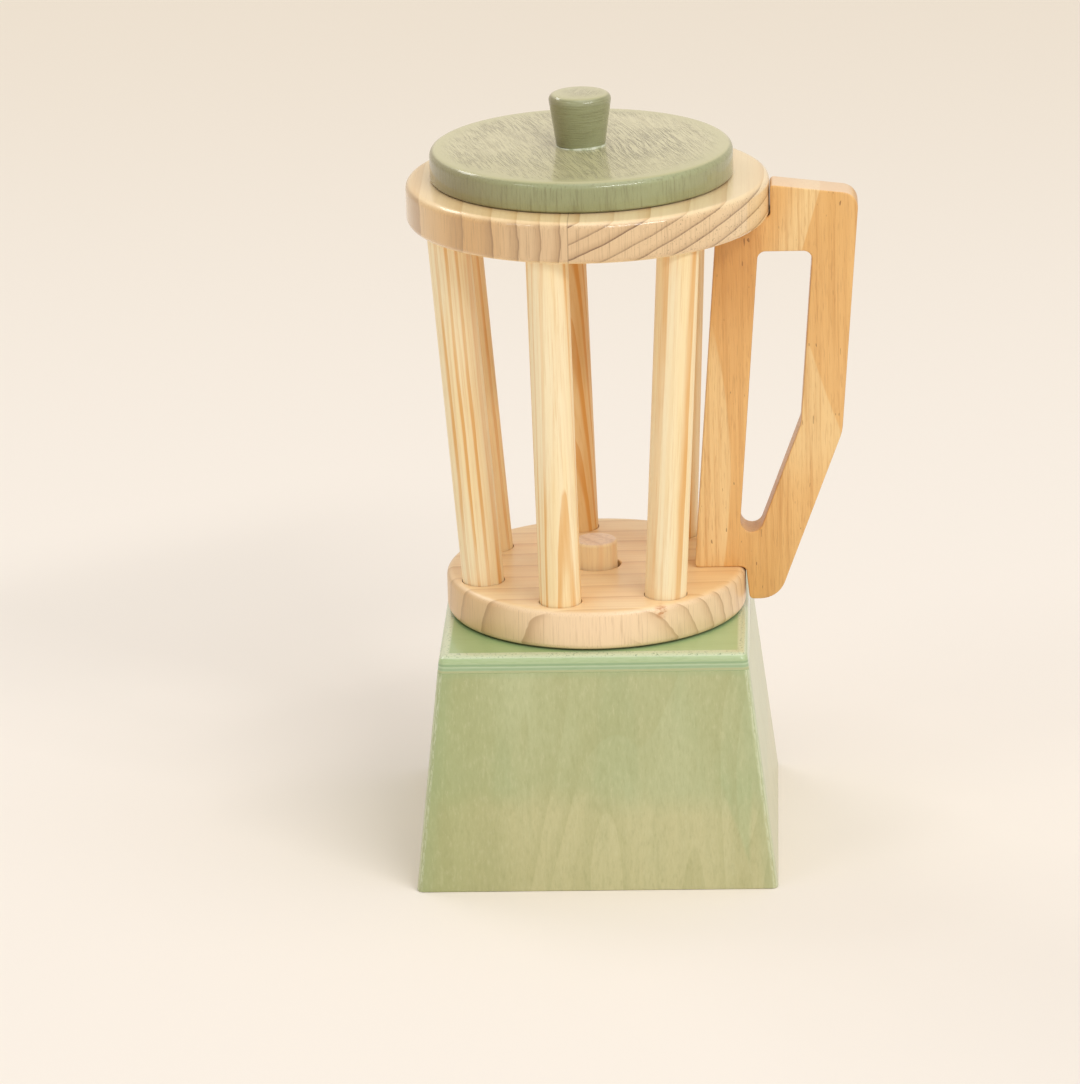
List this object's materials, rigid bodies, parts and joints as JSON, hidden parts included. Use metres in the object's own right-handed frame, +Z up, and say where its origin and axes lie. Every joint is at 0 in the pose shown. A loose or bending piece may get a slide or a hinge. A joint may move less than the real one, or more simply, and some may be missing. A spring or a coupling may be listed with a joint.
{
  "type": "toy blender",
  "caption": "Wooden pretend-play blender: tapered plinth with a peg, lift-off jar of leaning round bars between a disc and a ring, flat side handle, lid with a tapered knob.",
  "frame": {"origin": "middle of the plinth's underside, on the surface that the toy stands on", "axes": "+Z up, +X towards the handle, +Y to the back of the plinth"},
  "size_m": [0.1614, 0.134, 0.277],
  "materials": {
    "base_front_panel": "green water stain over plywood, satin",
    "base_right_panel": "green water stain over plywood, satin",
    "base_back_panel": "green water stain over plywood, satin",
    "base_left_panel": "green water stain over plywood, satin",
    "base_top_board": "green water stain over plywood, satin",
    "base_bottom_board": "bare plywood",
    "inner_pine": "sawn, bare",
    "spindle_peg": "bare, sanded",
    "floor_disc": "oiled, sanded smooth",
    "top_ring": "oiled, sanded smooth",
    "cage_bar_1": "oiled, sanded smooth",
    "cage_bar_2": "oiled, sanded smooth",
    "cage_bar_3": "oiled, sanded smooth",
    "cage_bar_4": "oiled, sanded smooth",
    "cage_bar_5": "oiled, sanded smooth",
    "cage_bar_6": "oiled, sanded smooth",
    "handle": "oiled, sanded smooth",
    "handle_pins": "fluted dowel, bare",
    "lid_disc": "green stain, semi-gloss varnish",
    "lid_plug": "green stain",
    "lid_knob": "green stain, semi-gloss varnish",
    "knob_screw": "zinc plated"
  },
  "bodies": {
    "base": {"base_front_panel": "base_front_panel", "base_right_panel": "base_right_panel", "base_back_panel": "base_back_panel", "base_left_panel": "base_left_panel", "base_top_board": "base_top_board", "base_bottom_board": "base_bottom_board", "corner_block_1": "inner_pine", "corner_block_2": "inner_pine", "corner_block_3": "inner_pine", "corner_block_4": "inner_pine", "spindle_block": "inner_pine"},
    "spindle": {"spindle_peg": "spindle_peg"},
    "jar": {"floor_disc": "floor_disc", "top_ring": "top_ring", "cage_bar_1": "cage_bar_1", "cage_bar_2": "cage_bar_2", "cage_bar_3": "cage_bar_3", "cage_bar_4": "cage_bar_4", "cage_bar_5": "cage_bar_5", "cage_bar_6": "cage_bar_6", "handle": "handle", "handle_pin_low": "handle_pins", "handle_pin_high": "handle_pins"},
    "lid": {"lid_disc": "lid_disc", "lid_plug": "lid_plug", "lid_knob": "lid_knob", "knob_screw": "knob_screw"}
  },
  "joints": [
    {"name": "jar_turn", "type": "hinge", "parent": "base", "child": "spindle", "pos_m": [0, 0.004, 0.086], "axis": [0, 0, 1], "continuous": true},
    {"name": "jar_lift", "type": "slide", "parent": "spindle", "child": "jar", "axis": [0, 0, 1], "range_m": [0, 0.1]},
    {"name": "lid_lift", "type": "slide", "parent": "jar", "child": "lid", "axis": [0, 0, 1], "range_m": [0, 0.06]}
  ]
}
